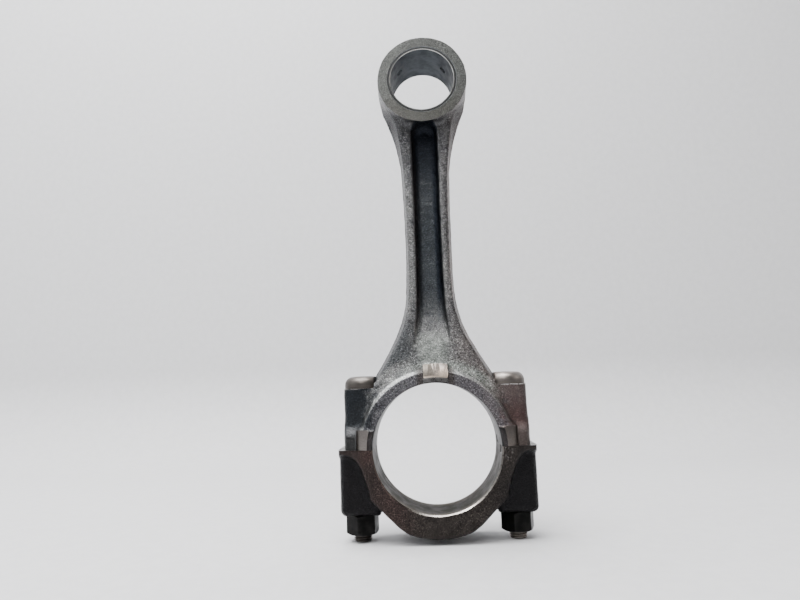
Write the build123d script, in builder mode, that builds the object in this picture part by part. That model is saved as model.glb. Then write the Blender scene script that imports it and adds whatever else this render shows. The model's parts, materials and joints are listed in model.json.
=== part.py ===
"""Connecting rod for a small diesel engine, as separate pieces.

Frame, in millimetres: the origin is the centre of the big-end bore at mid-width, +Y runs along
that bore, +Z points up the shank to the small end, and +X is to the right.
"""

import os

from build123d import *

# ---------------------------------------------------------------- driving dimensions
centre_distance = 170.0

big_bore_radius = 28.0
big_half_width = 13.7  # at the turned thrust pads
ring_half_width = 12.9  # at the forged ring faces
ring_radius = 33.8

pin_bore_radius = 15.0
bush_wall = 1.2
bush_edge_break = 0.35
eye_bore_radius = pin_bore_radius + bush_wall
eye_radius = 21.6
small_half_width = 12.4
oil_hole_radius = 1.8
oil_hole_angle = 45.0

rail_half_depth = 8.5
web_half_thickness = 2.8
channel_half_width = 6.1
forging_draft = 3.0

bolt_offset = 34.3
bolt_radius = 4.0
running_clearance = 0.05
seat_height = 26.5
boss_reach = 41.0
boss_half_depth = 9.0
flange_height = 9.2
flange_slope = 2.9
flange_half_depth = 12.0

ear_reach = 43.5
ear_height = 28.5
cap_flange_height = 3.0
cap_ring_radius = 34.5
cap_pad_radius = 38.7
cap_pad_half_width = 12.0
ear_corner = 2.8

pad_flat_radius = 30.4
pad_outer_radius = 37.0
pad_cone_drop = 3.4
top_pad_half_width = 6.2
side_pad_height = 8.2

head_radius = 9.0
head_shift = 2.3  # the head's centre lies this far inwards of the bolt's axis
head_flat = 7.3  # from the bolt's axis to the flat that stops it turning
head_height = 5.6
head_dome = 3.8
seat_margin = 0.5
bolt_end = 40.5
nut_half_flats = 6.5
nut_height = 8.6
nut_turn_right = 12.0

notch_width = 4.6
notch_height = 4.0
notch_depth = 1.3

edge_break = 0.5
rod_bore_bevel = 0.4
cap_bore_bevel = 1.0

os.makedirs("parts", exist_ok=True)


def save(piece, name):
    """Name a finished piece and write it as a STEP file."""
    piece.label = name
    export_step(piece, f"parts/{name}.step")


def beam_outline(half_widths, top_half_width, top):
    """Closed outline of the shank seen along the bores, from (half width, height) pairs."""
    right = [(x, z) for x, z in half_widths]
    left = [(-x, z) for x, z in half_widths]
    with BuildLine() as outline:
        Spline(*right)
        Line(right[-1], (top_half_width, top))
        Line((top_half_width, top), (-top_half_width, top))
        Line((-top_half_width, top), left[-1])
        Spline(*left)
        Line(left[0], right[0])
    return outline.line


# ---------------------------------------------------------------- shank
# The sides lean inwards from the mid-plane to the rails, so the shank is a loft from its
# outline at mid-width to its narrower outline at the rail faces.
mid_outline = [(31.0, 24.5), (25.4, 33.8), (19.9, 43.0), (15.3, 52.3), (12.2, 62.5), (10.95, 77.0),
               (10.75, 95.0), (11.1, 116.0), (12.0, 132.5), (14.7, 145.0), (19.2, 158.0)]
rail_outline = [(28.6, 24.5), (23.3, 33.8), (18.0, 43.0), (13.9, 51.0), (10.9, 61.0), (9.75, 76.0),
                (9.5, 94.0), (9.8, 113.0), (10.5, 128.5), (11.9, 141.0), (13.6, 154.0)]
shank_top = 163.0

with BuildPart() as shank:
    with BuildSketch(Plane.XZ):
        with BuildLine():
            add(beam_outline(mid_outline, 20.4, shank_top))
        make_face()
    with BuildSketch(Plane.XZ.offset(rail_half_depth)):
        with BuildLine():
            add(beam_outline(rail_outline, 14.6, shank_top))
        make_face()
    loft(ruled=True)
    mirror(about=Plane.XZ)

# ---------------------------------------------------------------- channels of the I-section
# One pocket each side of the web. It ends in round corners under the eye, and its floor
# climbs out in one arc above the big end.
channel_top = 150.6
channel_foot = 45.0
run_out_height = 62.0
run_out_radius = 18.0
channel_reach = 12.0

with BuildPart() as channels:
    with BuildSketch(Plane.XZ.offset(web_half_thickness)):
        with Locations((0, (channel_top + channel_foot) / 2)):
            RectangleRounded(2 * channel_half_width - 2.0, channel_top - channel_foot - 2.0, 3.6)
    extrude(amount=channel_reach - web_half_thickness, taper=-9)
    fillet(channels.faces().sort_by(Axis.Y)[-1].edges(), 1.8)
    with BuildSketch(Plane.YZ):
        with Locations((-(web_half_thickness + run_out_radius), run_out_height)):
            Circle(run_out_radius)
        with Locations((-channel_reach, (run_out_height + channel_top) / 2)):
            Rectangle(2 * (channel_reach - web_half_thickness), channel_top - run_out_height + 4)
    extrude(amount=2 * channel_half_width, both=True, mode=Mode.INTERSECT)
    mirror(about=Plane.XZ)

# ---------------------------------------------------------------- thrust pads
# Three bosses carry the turned thrust face: at 12, 3 and 9 o'clock. The face is flat next to
# the bore and falls away in a cone outside pad_flat_radius.
pad_inner_radius = big_bore_radius - 2

with BuildPart() as pads:
    with BuildSketch(Plane.XY):
        with BuildLine():
            Polyline(
                (pad_inner_radius, -big_half_width),
                (pad_flat_radius, -big_half_width),
                (pad_outer_radius, -big_half_width + pad_cone_drop),
                (pad_outer_radius, big_half_width - pad_cone_drop),
                (pad_flat_radius, big_half_width),
                (pad_inner_radius, big_half_width),
                close=True,
            )
        make_face()
    revolve(axis=Axis.Y)
    with BuildSketch(Plane.XZ):
        with Locations((0, big_bore_radius)):
            Rectangle(2 * top_pad_half_width, 20)
        with Locations((-big_bore_radius - 4, 0), (big_bore_radius + 4, 0)):
            Rectangle(14, 2 * side_pad_height)
    extrude(amount=big_half_width, both=True, mode=Mode.INTERSECT)

# ---------------------------------------------------------------- swell above the ring
# The shank's foot climbs to the ring's face in a hollow curve that follows the ring.
swell_radius = 43.0

with BuildPart() as swell:
    with BuildSketch(Plane.XY):
        with BuildLine():
            Line((pad_inner_radius, -ring_half_width), (ring_radius - 0.1, -ring_half_width))
            ThreePointArc((ring_radius - 0.1, -ring_half_width), (36.8, -9.9),
                          (swell_radius, -rail_half_depth))
            Line((swell_radius, -rail_half_depth), (swell_radius, rail_half_depth))
            ThreePointArc((swell_radius, rail_half_depth), (36.8, 9.9),
                          (ring_radius - 0.1, ring_half_width))
            Line((ring_radius - 0.1, ring_half_width), (pad_inner_radius, ring_half_width))
            Line((pad_inner_radius, ring_half_width), (pad_inner_radius, -ring_half_width))
        make_face()
    revolve(axis=Axis.Y)
    with BuildSketch(Plane.XZ):
        with BuildLine():
            add(beam_outline(mid_outline, 20.4, shank_top))
        make_face()
    extrude(amount=big_half_width, both=True, mode=Mode.INTERSECT)

# ---------------------------------------------------------------- rod body
bolt_places = [(-bolt_offset, 0), (bolt_offset, 0)]

# flange along the parting line, joining each boss to the ring under a sloping ledge
with BuildPart() as flanges:
    with BuildSketch(Plane.XY):
        with Locations((-boss_reach + 8, 0), (boss_reach - 8, 0)):
            RectangleRounded(16, 2 * flange_half_depth, 3.5)
    extrude(amount=flange_height)
    with BuildSketch(Plane.YZ):
        with BuildLine():
            Polyline(
                (-flange_half_depth, 0),
                (-flange_half_depth, flange_height - flange_slope),
                (-boss_half_depth, flange_height),
                (boss_half_depth, flange_height),
                (flange_half_depth, flange_height - flange_slope),
                (flange_half_depth, 0),
                close=True,
            )
        make_face()
    extrude(amount=boss_reach, both=True, mode=Mode.INTERSECT)


def bore_tool(bevel):
    """The big-end bore with its bevelled mouths, as a solid to take away."""
    mouth = ring_half_width - bevel
    past = big_half_width + 1.0
    with BuildPart() as tool:
        with BuildSketch(Plane.XY):
            with BuildLine():
                Polyline(
                    (0, -past),
                    (big_bore_radius + past - mouth, -past),
                    (big_bore_radius, -mouth),
                    (big_bore_radius, mouth),
                    (big_bore_radius + past - mouth, past),
                    (0, past),
                    close=True,
                )
            make_face()
        revolve(axis=Axis.Y)
    return tool.part


with BuildPart() as rod_body:
    add(shank.part)
    with BuildSketch(Plane.XZ):
        with Locations((0, centre_distance)):
            Circle(eye_radius)
    extrude(amount=small_half_width, both=True, taper=forging_draft)
    with BuildSketch(Plane.XZ):
        Circle(ring_radius)
    extrude(amount=ring_half_width, both=True)

    # bolt bosses, their flange at the parting line, and the shoulders beside the seats
    with BuildSketch(Plane.XY):
        with Locations((-boss_reach + 10, 0), (boss_reach - 10, 0)):
            RectangleRounded(20, 2 * boss_half_depth, 3.5)
    extrude(amount=seat_height)
    add(flanges.part)
    add(pads.part)
    add(channels.part, mode=Mode.SUBTRACT)
    add(swell.part)
    split(bisect_by=Plane.XY, keep=Keep.TOP)

    # bores
    add(bore_tool(rod_bore_bevel), mode=Mode.SUBTRACT)
    with BuildSketch(Plane.XZ):
        with Locations((0, centre_distance)):
            Circle(eye_bore_radius)
    extrude(amount=2 * small_half_width, both=True, mode=Mode.SUBTRACT)

    # bolt holes, and seats spot-faced into the shoulders with a straight stop for each head
    with BuildSketch(Plane.XY):
        with Locations(*bolt_places):
            Circle(bolt_radius)
    extrude(amount=seat_height, mode=Mode.SUBTRACT)
    with BuildSketch(Plane.XY.offset(seat_height)):
        with Locations((head_shift - bolt_offset, 0), (bolt_offset - head_shift, 0)):
            Circle(head_radius + seat_margin)
        with Locations((-bolt_offset - 5, 0), (bolt_offset + 5, 0)):
            Rectangle(2 * (head_flat + 5 + 0.1), 40, mode=Mode.INTERSECT)
    extrude(amount=14, mode=Mode.SUBTRACT)

    # oil holes down to the pin
    for angle in (-oil_hole_angle, oil_hole_angle):
        oil_plane = Plane(origin=(0, 0, centre_distance)).rotated((0, angle, 0))
        with BuildSketch(oil_plane):
            Circle(oil_hole_radius)
        extrude(amount=eye_radius + 2, mode=Mode.SUBTRACT)

    # locating notch for a bearing shell's tang, right-hand side
    with Locations((big_bore_radius, big_half_width / 2, 0)):
        Box(2 * notch_depth, notch_width, 2 * notch_height, mode=Mode.SUBTRACT)

save(rod_body.part, "rod_body")

# ---------------------------------------------------------------- bearing cap
# The underside is thickest in the middle and slopes at 45 degrees up to the ring.
shoulder_reach = 24.4
shoulder_height = 24.4

# bolt ears, round at their outer lower corners, and their flange at the parting line
with BuildPart() as ears:
    with BuildSketch(Plane.XY):
        with Locations((-ear_reach + 11, 0), (ear_reach - 11, 0)):
            RectangleRounded(22, 2 * boss_half_depth, 3.5)
    extrude(amount=-ear_height)
    with BuildSketch(Plane.XZ):
        with Locations((0, -ear_height / 2)):
            RectangleRounded(2 * ear_reach, ear_height, ear_corner)
        with Locations((0, -ear_height / 4)):
            Rectangle(2 * ear_reach, ear_height / 2)
    extrude(amount=big_half_width, both=True, mode=Mode.INTERSECT)
    with BuildSketch(Plane.XY):
        with Locations((-ear_reach + 9, 0), (ear_reach - 9, 0)):
            RectangleRounded(18, 2 * flange_half_depth, 3.5)
    extrude(amount=-cap_flange_height)

with BuildPart() as bearing_cap:
    with BuildSketch(Plane.XZ):
        Circle(cap_pad_radius)
        with BuildLine():
            Polyline(
                (-shoulder_reach, 0),
                (-shoulder_reach, -shoulder_height),
                (-cap_pad_half_width, -shoulder_height - shoulder_reach + cap_pad_half_width),
                (-cap_pad_half_width, -cap_pad_radius - 1),
                (cap_pad_half_width, -cap_pad_radius - 1),
                (cap_pad_half_width, -shoulder_height - shoulder_reach + cap_pad_half_width),
                (shoulder_reach, -shoulder_height),
                (shoulder_reach, 0),
                close=True,
            )
        make_face(mode=Mode.INTERSECT)
        Circle(cap_ring_radius)
    extrude(amount=ring_half_width, both=True)
    add(ears.part)
    split(bisect_by=Plane.XY, keep=Keep.BOTTOM)

    add(bore_tool(cap_bore_bevel), mode=Mode.SUBTRACT)
    with BuildSketch(Plane.XY):
        with Locations(*bolt_places):
            Circle(bolt_radius + running_clearance)
    extrude(amount=-ear_height, mode=Mode.SUBTRACT)
    with Locations((big_bore_radius, -big_half_width / 2, 0)):
        Box(2 * notch_depth, notch_width, 2 * notch_height, mode=Mode.SUBTRACT)

save(bearing_cap.part, "bearing_cap")

# ---------------------------------------------------------------- small-end bush
with BuildPart() as small_end_bush:
    with BuildSketch(Plane.XZ):
        with Locations((0, centre_distance)):
            Circle(eye_bore_radius)
            Circle(pin_bore_radius, mode=Mode.SUBTRACT)
    extrude(amount=small_half_width, both=True)
    chamfer(small_end_bush.edges().filter_by(GeomType.CIRCLE), bush_edge_break)
    for angle in (-oil_hole_angle, oil_hole_angle):
        oil_plane = Plane(origin=(0, 0, centre_distance)).rotated((0, angle, 0))
        with BuildSketch(oil_plane):
            Circle(oil_hole_radius)
        extrude(amount=eye_radius + 2, mode=Mode.SUBTRACT)

save(small_end_bush.part, "small_end_bush")


# ---------------------------------------------------------------- bolts
def make_bolt(side):
    """A bolt whose domed, off-centre head is cut straight where it faces the rod's middle."""
    with BuildPart() as bolt:
        with BuildSketch(Plane.XY.offset(seat_height)):
            with Locations((-side * head_shift, 0)):
                Circle(head_radius)
        extrude(amount=head_height)
        fillet(bolt.faces().sort_by(Axis.Z)[-1].edges(), head_dome)
        with BuildSketch(Plane.XY.offset(seat_height)):
            with Locations((side * 5, 0)):
                Rectangle(2 * (head_flat + 5), 4 * head_radius)
        extrude(amount=head_height, mode=Mode.INTERSECT)
        with BuildSketch(Plane.XY.offset(seat_height)):
            Circle(bolt_radius)
        extrude(amount=-(seat_height + bolt_end))
        chamfer(bolt.edges().filter_by(GeomType.CIRCLE).sort_by(Axis.Z)[0], 0.7)
    return bolt.part.moved(Location((side * bolt_offset, 0, 0)))


# ---------------------------------------------------------------- nuts
def make_nut(side, turn):
    """A hexagon nut under the cap's ear, turned by so many degrees from corner-forward."""
    with BuildPart() as nut:
        with BuildSketch(Plane.XY.offset(-ear_height)):
            RegularPolygon(nut_half_flats, 6, major_radius=False, rotation=30 + turn)
        extrude(amount=-nut_height)
        # corners rounded off by a cone at the free end
        corner_radius = nut_half_flats / 0.866
        with BuildSketch(Plane.XZ):
            with BuildLine():
                Polyline(
                    (0, -ear_height),
                    (corner_radius, -ear_height),
                    (corner_radius, -ear_height - nut_height + 0.6),
                    (nut_half_flats, -ear_height - nut_height),
                    (0, -ear_height - nut_height),
                    close=True,
                )
            make_face()
        revolve(axis=Axis.Z, mode=Mode.INTERSECT)
        with BuildSketch(Plane.XY.offset(-ear_height)):
            Circle(bolt_radius + running_clearance)
        extrude(amount=-nut_height, mode=Mode.SUBTRACT)
        chamfer(nut.edges().filter_by(GeomType.CIRCLE).filter_by(
            lambda edge: edge.radius < bolt_radius + 1), edge_break)
    return nut.part.moved(Location((side * bolt_offset, 0, 0)))


for name, side, turn in (("left", -1, 0.0), ("right", 1, nut_turn_right)):
    save(make_bolt(side), f"bolt_{name}")
    save(make_nut(side, turn), f"nut_{name}")
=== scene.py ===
"""Looks of the connecting rod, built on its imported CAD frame.

Shapes are worked out in millimetres in the CAD's frame: the origin is the big-end bore's centre,
+Y runs along that bore and +Z up the shank. The two forgings are drawn as distance fields, cast
into meshes and then machined with cutters that leave their own finishes. The bolts, the nuts and
the bush are skins through rings of points.
"""

import itertools
import json
import math

import bmesh
import bpy
import numpy as np
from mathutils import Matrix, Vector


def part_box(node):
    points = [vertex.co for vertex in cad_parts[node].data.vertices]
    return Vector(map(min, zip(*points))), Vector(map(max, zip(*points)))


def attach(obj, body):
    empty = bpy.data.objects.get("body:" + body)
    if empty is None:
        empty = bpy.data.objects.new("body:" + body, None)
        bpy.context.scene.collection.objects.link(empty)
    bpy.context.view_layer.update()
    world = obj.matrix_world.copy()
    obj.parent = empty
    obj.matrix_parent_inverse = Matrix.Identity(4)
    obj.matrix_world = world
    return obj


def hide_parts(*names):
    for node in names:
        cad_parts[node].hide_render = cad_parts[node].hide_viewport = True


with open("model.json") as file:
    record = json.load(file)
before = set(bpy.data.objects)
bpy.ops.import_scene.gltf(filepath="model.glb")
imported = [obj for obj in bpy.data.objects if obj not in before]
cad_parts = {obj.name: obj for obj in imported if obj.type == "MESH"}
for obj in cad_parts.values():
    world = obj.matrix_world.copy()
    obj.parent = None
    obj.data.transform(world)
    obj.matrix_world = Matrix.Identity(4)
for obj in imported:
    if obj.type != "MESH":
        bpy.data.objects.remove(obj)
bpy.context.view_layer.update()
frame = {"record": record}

import openvdb
from mathutils import Matrix, Vector

MM = 0.001
CLEAR = 0.02  # mm kept between a piece's skin and its CAD node's outside


# ---------------------------------------------------------------- places read from the frame
def box_mm(node):
    """Lowest and highest corner of a CAD node, in millimetres."""
    low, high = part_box(node)
    return low / MM, high / MM


mounts = {mount["name"]: mount for mount in frame["record"]["mounts"]}
rod_low, rod_high = box_mm("rod_body")
cap_low, cap_high = box_mm("bearing_cap")
bush_high = box_mm("small_end_bush")[1]
bolt_low, bolt_high = box_mm("bolt_right")
nut_low, nut_high = box_mm("nut_left")

bore_radius = mounts["big_end_bore"]["dims"]["r_mm"]
pin_radius = mounts["small_end_bore"]["dims"]["r_mm"]
eye_centre = mounts["small_end_bore"]["pos_m"][2] / MM
eye_radius = rod_high.z - eye_centre
eye_bore_radius = bush_high.x
small_half_width = bush_high.y
pad_half_width = rod_high.y
boss_reach = rod_high.x
ring_half_width = cap_high.y
ear_reach = cap_high.x
cap_depth = -cap_low.z
bolt_offset = -(nut_low.x + nut_high.x) / 2
ear_height = -nut_high.z
nut_height = nut_high.z - nut_low.z
nut_half_flats = (nut_high.x - nut_low.x) / 2
bolt_top = bolt_high.z
bolt_end = -bolt_low.z
head_flat = bolt_low.x  # where the right bolt's head is cut straight
head_radius = (bolt_high.y - bolt_low.y) / 2

# ---------------------------------------------------------------- dimensions of the looks, mm
# both forgings
cast_step = 0.62
snap_rounds = 3
snap_limit = 0.25  # most a point moves in each round where the slope is 1, in cast steps
least_steepness = 0.25
flash = 0.25  # how far the trimmed parting line stands proud of the forged sides
flash_half_width = 0.8
waves = [(11.0, 0.10), (4.5, 0.07), (2.0, 0.06), (1.2, 0.05)]  # width and height of the uneven skin
wave_sink = 0.1  # how far the uneven skin's middle lies inside the smooth one
small_fillet = 0.8

# shank, as (half width, height) pairs
mid_outline = [(31.0, 24.5), (25.4, 33.8), (19.9, 43.0), (15.3, 52.3), (12.2, 62.5), (10.95, 77.0),
               (10.75, 95.0), (11.1, 116.0), (12.0, 132.5), (14.7, 145.0), (19.2, 158.0)]
rail_outline = [(28.6, 24.5), (23.3, 33.8), (18.0, 43.0), (13.9, 51.0), (10.9, 61.0), (9.75, 76.0),
                (9.5, 94.0), (9.8, 113.0), (10.5, 128.5), (11.9, 141.0), (13.6, 154.0)]
rail_half_depth = 8.5
rail_edge = 1.7
flank_limit = 1.4  # rail depths past which the flanks no longer close in
shank_top = 165.0

# small-end eye
eye_draft = 0.015
eye_edge = 1.4
eye_fillet = 3.0
facing_stock = 0.8  # forged metal the eye's facing cut takes off

# channels: (half width, height) and (depth from the middle, height) pairs
channel_outline = [(9.5, 44.0), (8.0, 50.0), (6.9, 57.0), (6.3, 66.0), (6.1, 78.0), (6.1, 152.0)]
channel_floor = [(11.0, 34.0), (10.4, 37.0), (9.35, 42.0), (8.1, 46.0), (6.6, 50.0), (5.15, 54.0),
                 (3.9, 58.0), (3.1, 62.0), (2.8, 67.0), (2.8, 152.0)]
channel_top = 150.6
channel_lean = 0.16
channel_corner = 5.7
channel_root = 2.4
channel_edge = 1.1
channel_lip = 11.5  # the eye's rim past this depth is left whole
lip_foot = 140.0  # the channel runs into the eye above this height
lip_edge = 0.6

# ring round the big end, and the swell outside it as (depth from the middle, radius) pairs
ring_radius = 33.8
ring_edge = 1.5
swell_profile = [(11.3, 30.0), (11.0, 34.0), (9.9, 36.8), (8.95, 40.0), (8.5, 43.5), (8.5, 60.0)]
ramp_half_width = 7.2
ramp_blend = 1.2
ring_fillet = 1.3

# bolt bosses and their flange
boss_half_depth = 9.0
boss_corner = 3.2
boss_fillet = 3.2
boss_inner = 26.0
seat_stock = 1.0  # forged metal the seats' cutter takes off
seat_height = 26.5
seat_margin = 0.1
seat_root = 0.8
seat_half_depth = 11.5
seat_cut_top = 40.0
flange_half_depth = 12.0
flange_corner = 3.5
flange_inner = 30.0
flange_ledge = 18.3  # where the sloping ledge's plane meets the axes, y + z
flange_rise = 0.22
ledge_slant = 0.7  # about 1 / sqrt 2, as the ledge slopes at close to 45 degrees

# thrust pads
pad_flat_radius = 30.4
pad_outer_radius = 36.8
side_pad_reach = 35.0
pad_cone_drop = 3.4
top_pad_half_width = 5.2
top_pad_shift = 0.6  # to the right of the rod's middle
top_pad_lean = 0.08
top_pad_ease = 0.88  # scales the distance from the pad's sides
side_pad_height = 8.2
side_pad_lean = 0.12
pad_stock = 0.3  # forged metal the turning takes off
pad_margin = 0.4
pad_inner = 25.0
pad_edge = 0.4
top_window_margin = 0.25  # how far a pad's cutter reaches past the edge of the forged pad's face
side_window_margin = 0.35

# bearing cap
cap_draft = 0.015
cap_ring_radius = 34.4
cap_shoulder = 51.0  # where the 45 degree shoulder's plane meets the axes, x + z
shoulder_slant = 0.707
cap_edge = 1.5
hoop_half_width = 30.0
hoop_edge = 1.8
hoop_fillet = 2.0
wing_fillet = 7.0
wing_setback = 0.9  # how far the flange's ends lie behind the ring's face
wing_setback_start = 34.0
wing_setback_length = 4.0
cap_flange_height = 2.4
ear_corner = 2.8
ear_inner = 25.5
ear_edge = 1.0
ear_fillet = 2.2
ear_stock = 0.3  # forged metal the spot face under each ear takes off

# bores, bolts, nuts, oil holes and tang notches
rod_bore_bevel = (0.6, 1.2)  # across and along the bore
cap_bore_bevel = (0.65, 0.8)
bolt_radius = 4.0
hole_clearance = 0.1
thread_pitch = 1.0
thread_depth = 0.58
thread_clearance = 0.06
thread_fade = 0.8
thread_top = 18.0  # above the bolt's end
dome_straight = 1.6  # height of the head's upright side
dome_round = (3.4, 3.75)  # across and up
nut_face = 0.95  # the nut's round end face, as a share of its width across flats
nut_chamfer = 0.45
oil_hole_radius = 1.8
oil_hole_angle = math.radians(45)
notch_radius = 5.0
notch_width = 4.6
notch_depth = 1.3


# ---------------------------------------------------------------- fields
def curve(pairs, at, samples=400):
    """A smooth curve through (value, place) pairs, read at the places given."""
    values, places = (np.array(column) for column in zip(*pairs))
    slopes = np.gradient(values, places)
    dense = np.linspace(places[0], places[-1], samples)
    span = np.clip(np.searchsorted(places, dense, side="right") - 1, 0, len(places) - 2)
    gap = places[span + 1] - places[span]
    t = (dense - places[span]) / gap
    smooth = ((1 + 2 * t) * (1 - t) ** 2 * values[span] + t * (1 - t) ** 2 * gap * slopes[span]
              + t * t * (3 - 2 * t) * values[span + 1] + t * t * (t - 1) * gap * slopes[span + 1])
    return np.interp(at, dense, smooth)


def joined(a, b, radius=0.0):
    """Union of two fields, with a hollow fillet where they meet."""
    corner = np.sqrt(np.maximum(radius - a, 0) ** 2 + np.maximum(radius - b, 0) ** 2)
    return np.maximum(radius, np.minimum(a, b)) - corner


def shared(a, b, radius=0.0):
    """Overlap of two fields, with a rounded edge where they meet."""
    return -joined(-a, -b, radius)


def lattice_noise(points, size, seed, side=32):
    """Smooth random values from -1 to 1 that change over about size millimetres."""
    table = np.random.RandomState(seed).uniform(-1, 1, (side, side, side))
    cell = points / size
    base = np.floor(cell).astype(int)
    t = cell - base
    t = t * t * (3 - 2 * t)
    total = np.zeros(len(points))
    for corner in itertools.product((0, 1), repeat=3):
        index = (base + corner) % side
        weight = np.prod(np.where(corner, t, 1 - t), axis=1)
        total += weight * table[index[:, 0], index[:, 1], index[:, 2]]
    return total


def rod_field(x, y, z):
    """The rod as forged, before any machining: negative inside, in millimetres."""
    ax = np.abs(x)
    ay = np.abs(y)
    radius = np.sqrt(x * x + z * z)
    lean = np.minimum(ay / rail_half_depth, flank_limit)
    half = curve(mid_outline, z) * (1 - lean) + curve(rail_outline, z) * lean
    slope = curve(mid_outline, z + 0.5) - curve(mid_outline, z - 0.5)
    side = (ax - half) / np.sqrt(1 + slope * slope)
    side = shared(side, z - shank_top)

    # the shank's faces climb to the ring all round, and the channel's floor runs on to the top pad
    floor = curve(channel_floor, z)
    fade = 1 / (1 + (x / ramp_half_width) ** 6)
    ramp = rail_half_depth + (floor - rail_half_depth) * fade
    depth = np.maximum(rail_half_depth, curve(swell_profile, radius))
    face = joined(ay - depth, ay - ramp, ramp_blend)
    field = shared(side, face, rail_edge)

    eye_distance = np.sqrt(x * x + (z - eye_centre) ** 2)
    eye = eye_distance - (eye_radius - flash - eye_draft * ay)
    field = joined(field, shared(eye, ay - small_half_width - facing_stock, eye_edge), eye_fillet)

    drop = rail_half_depth - ay
    across = ax - (curve(channel_outline, z) - drop * channel_lean)
    along = z - (channel_top - drop * channel_lean)
    pocket = shared(shared(across, along, channel_corner), floor - ay, channel_root)
    pocket = shared(pocket, np.where(z > lip_foot, ay - channel_lip, -channel_lip), lip_edge)
    field = shared(field, -pocket, channel_edge)

    field = joined(field, shared(radius - ring_radius, ay - ring_half_width, ring_edge), ring_fillet)

    boss = shared(ax - (boss_reach - flash), ay - boss_half_depth, boss_corner)
    boss = shared(boss, np.maximum(z - seat_height - seat_stock, boss_inner - ax))
    flange = shared(ax - (boss_reach - flash), ay - flange_half_depth, flange_corner)
    ledge = (ay + z - flange_ledge - flange_rise * (boss_reach - ax)) * ledge_slant
    flange = shared(flange, shared(ledge, flange_inner - ax), small_fillet)
    field = joined(field, joined(boss, flange, small_fillet), boss_fillet)

    # the pads end just inside the reach of the cutters that turn them
    proud = pad_half_width + pad_stock - ay
    top_pad = (np.abs(x - top_pad_shift) - (top_pad_half_width + proud * top_pad_lean)) * top_pad_ease
    top_pad = shared(top_pad, shared(-z, radius - pad_outer_radius + pad_margin))
    side_pad = z - (side_pad_height + proud * side_pad_lean)
    side_pad = shared(side_pad, ax - side_pad_reach + pad_margin, small_fillet)
    pads = shared(np.minimum(top_pad, side_pad), shared(-proud, pad_inner - radius), pad_edge)
    field = joined(field, pads, small_fillet)

    return field - flash * np.exp(-(y / flash_half_width) ** 2)


def cap_field(x, y, z):
    """The bearing cap as forged, before any machining."""
    ax = np.abs(x)
    ay = np.abs(y)
    radius = np.sqrt(x * x + z * z)
    hoop = shared(radius - (cap_depth - flash), (ax - z - cap_shoulder) * shoulder_slant, hoop_edge)
    hoop = shared(hoop, ax - hoop_half_width)
    hoop = joined(hoop, radius - cap_ring_radius, hoop_fillet)
    wing = shared(ax - (ear_reach - flash), -z - cap_flange_height)
    outline = joined(hoop, wing, wing_fillet)
    step = np.clip((ax - wing_setback_start) / wing_setback_length, 0, 1)
    front = ay - (ring_half_width - wing_setback * step * step * (3 - 2 * step))
    field = shared(outline + cap_draft * ay, front, cap_edge)

    ear = shared(ax - (ear_reach - flash), -z - ear_height - ear_stock, ear_corner)
    ear = shared(ear, ear_inner - ax, ear_edge)
    ear = shared(ear, ay - boss_half_depth, boss_corner)
    field = joined(field, ear, ear_fillet)
    return field - flash * np.exp(-(y / flash_half_width) ** 2)


# ---------------------------------------------------------------- meshes
def mesh_object(name, vertices, faces, material):
    """A new object from points in millimetres."""
    mesh = bpy.data.meshes.new(name)
    mesh.from_pydata((np.asarray(vertices) * MM).tolist(), [], faces)
    mesh.materials.append(material)
    piece = bpy.data.objects.new(name, mesh)
    bpy.context.scene.collection.objects.link(piece)
    work = bmesh.new()
    work.from_mesh(mesh)
    bmesh.ops.recalc_face_normals(work, faces=work.faces)
    work.to_mesh(mesh)
    work.free()
    return piece


def slope_of(field, points, reach=0.05):
    """The gradient of a field at each point, from its values a short reach to either side."""
    slopes = np.empty_like(points)
    for axis in range(3):
        shift = np.zeros(3)
        shift[axis] = reach
        ahead = field(*(points + shift).T)
        behind = field(*(points - shift).T)
        slopes[:, axis] = (ahead - behind) / (2 * reach)
    return slopes


def cast(name, field, low, high, material, roughness_seed):
    """A mesh of a forging: its field's surface, with the unevenness of a shot-blasted forging."""
    margin = 2.0
    spans = [np.arange(low[i] - margin, high[i] + margin, cast_step) for i in range(3)]
    x, y, z = spans[0][:, None, None], spans[1][None, :, None], spans[2][None, None, :]
    grid = openvdb.FloatGrid(10.0)
    grid.copyFromArray(field(x, y, z).astype(np.float32))
    points, quads = grid.convertToQuads(isovalue=0.0)
    points = points * cast_step + np.array([span[0] for span in spans])
    limit = snap_limit * cast_step
    for _ in range(snap_rounds):
        slopes = slope_of(field, points)
        steepness = np.maximum((slopes ** 2).sum(1), least_steepness)
        distance = np.clip(field(*points.T) / steepness, -limit, limit)
        points -= slopes * distance[:, None]
    slopes = slope_of(field, points)
    slopes /= np.linalg.norm(slopes, axis=1)[:, None] + 1e-9
    height = np.full(len(points), -wave_sink)
    for index, (width, amount) in enumerate(waves):
        height += amount * lattice_noise(points, width, roughness_seed + index)
    points += slopes * height[:, None]
    points = np.clip(points, np.array(low) + CLEAR, np.array(high) - CLEAR)
    return mesh_object(name, points, quads.tolist(), material)


def skin(name, rings, closed, materials, finish=None):
    """A mesh of quads through rings of equally many points. It closes on itself, or is capped."""
    rings = np.asarray(rings, float)
    rows, columns = rings.shape[:2]
    faces = []
    finishes = []
    for row in range(rows if closed else rows - 1):
        following = (row + 1) % rows
        for column in range(columns):
            beside = (column + 1) % columns
            faces.append((row * columns + column, row * columns + beside,
                          following * columns + beside, following * columns + column))
            finishes.append(finish[row] if finish else 0)
    if not closed:
        faces.append(tuple(range(columns - 1, -1, -1)))
        faces.append(tuple(range((rows - 1) * columns, rows * columns)))
        finishes += [finish[0], finish[-1]] if finish else [0, 0]
    piece = mesh_object(name, rings.reshape(-1, 3), faces, materials[0])
    for material in materials[1:]:
        piece.data.materials.append(material)
    piece.data.polygons.foreach_set("material_index", finishes)
    return piece


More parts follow.
